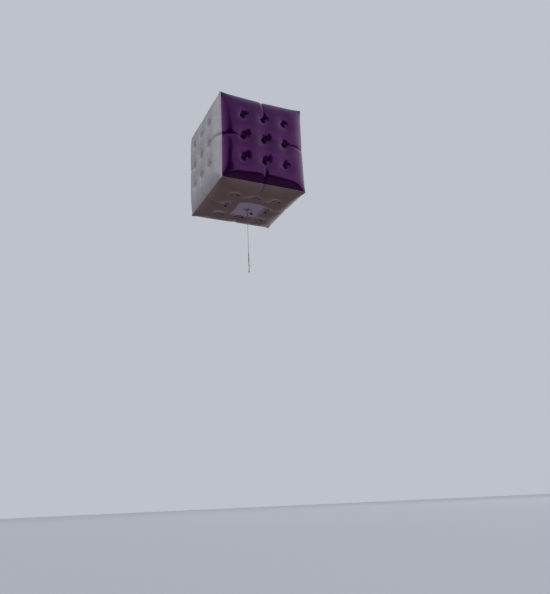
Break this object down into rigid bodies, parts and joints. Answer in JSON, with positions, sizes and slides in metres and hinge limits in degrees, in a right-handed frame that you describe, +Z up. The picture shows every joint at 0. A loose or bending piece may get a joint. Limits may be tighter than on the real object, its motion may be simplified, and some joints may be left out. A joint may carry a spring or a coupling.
{
  "type": "tethered advertising cube balloon",
  "caption": "Cube-shaped helium balloon with dimpled purple and white sides, a load patch and valve underneath, and a hanging rope with swivel and shackle.",
  "frame": {"origin": "centre of the cube, where the lift of the gas acts", "axes": "+Z up, -Y out of the purple front face, +X to the right along that face; the rope hangs along -Z"},
  "size_m": [3.36, 3.36, 5.9175],
  "materials": {
    "purple_pvc": "glossy purple printed PVC film",
    "white_pvc": "satin white PVC film",
    "underside_pvc": "glossy grey-brown PVC film",
    "patch_cloth": "matte lavender-grey coated cloth",
    "grey_webbing": "woven grey webbing",
    "rope": "pale braided rope",
    "black_whipping": "black whipping twine",
    "galvanised_steel": "dull galvanised steel",
    "black_plastic": "moulded black plastic"
  },
  "bodies": {
    "balloon": {"front_upper_left_panel": "purple_pvc", "front_lower_left_panel": "purple_pvc", "front_upper_right_panel": "purple_pvc", "front_lower_right_panel": "purple_pvc", "back_upper_left_panel": "purple_pvc", "back_lower_left_panel": "purple_pvc", "back_upper_right_panel": "purple_pvc", "back_lower_right_panel": "purple_pvc", "right_upper_left_panel": "white_pvc", "right_lower_left_panel": "white_pvc", "right_upper_right_panel": "white_pvc", "right_lower_right_panel": "white_pvc", "left_upper_left_panel": "white_pvc", "left_lower_left_panel": "white_pvc", "left_upper_right_panel": "white_pvc", "left_lower_right_panel": "white_pvc", "top_back_left_panel": "white_pvc", "top_front_left_panel": "white_pvc", "top_back_right_panel": "white_pvc", "top_front_right_panel": "white_pvc", "bottom_front_left_panel": "underside_pvc", "bottom_back_left_panel": "underside_pvc", "bottom_front_right_panel": "underside_pvc", "bottom_back_right_panel": "underside_pvc", "load_patch": "patch_cloth", "lower_load_strap": "grey_webbing", "crossing_load_strap": "grey_webbing", "load_ring_keeper": "grey_webbing", "filling_valve": "black_plastic", "valve_cap_pin": "galvanised_steel"},
    "load_ring": {"load_ring": "galvanised_steel"},
    "hanging_rope": {"upper_rope_eye": "rope", "upper_rope_splice": "black_whipping", "hanging_rope": "rope", "lower_rope_splice": "black_whipping", "lower_rope_eye": "rope"},
    "swivel_top": {"swivel_upper_jaw": "galvanised_steel", "swivel_upper_pin": "galvanised_steel"},
    "swivel_bottom": {"swivel_lower_jaw": "galvanised_steel", "swivel_lower_pin": "galvanised_steel"},
    "leader": {"leader_upper_eye": "rope", "leader_upper_splice": "black_whipping", "leader_rope": "rope", "leader_lower_splice": "black_whipping", "tether_rope_eye": "rope"},
    "tether_shackle": {"tether_shackle": "galvanised_steel", "tether_shackle_pin": "galvanised_steel"},
    "valve_cap": {"valve_cap": "black_plastic"}
  },
  "joints": [
    {"name": "load_ring_swing", "type": "hinge", "parent": "balloon", "child": "load_ring", "pos_m": [0, 0, -1.8107], "axis": [0, 1, 0], "range_deg": [-60, 60]},
    {"name": "rope_swing", "type": "hinge", "parent": "load_ring", "child": "hanging_rope", "pos_m": [0, 0, -1.8307], "axis": [1, 0, 0], "range_deg": [-60, 60]},
    {"name": "swivel_tilt", "type": "hinge", "parent": "hanging_rope", "child": "swivel_top", "pos_m": [0, 0, -3.612], "axis": [0, 1, 0], "range_deg": [-60, 60]},
    {"name": "swivel_spin", "type": "hinge", "parent": "swivel_top", "child": "swivel_bottom", "pos_m": [0, 0, -3.678], "axis": [0, 0, 1], "continuous": true},
    {"name": "leader_swing", "type": "hinge", "parent": "swivel_bottom", "child": "leader", "pos_m": [0, 0, -3.716], "axis": [1, 0, 0], "range_deg": [-60, 60]},
    {"name": "shackle_swing", "type": "hinge", "parent": "leader", "child": "tether_shackle", "pos_m": [0, 0, -4.0695], "axis": [1, 0, 0], "range_deg": [-90, 90]},
    {"name": "valve_cap_hinge", "type": "hinge", "parent": "balloon", "child": "valve_cap", "pos_m": [0.286, 0.25, -1.8266], "axis": [0, -1, 0], "range_deg": [0, 135]}
  ]
}
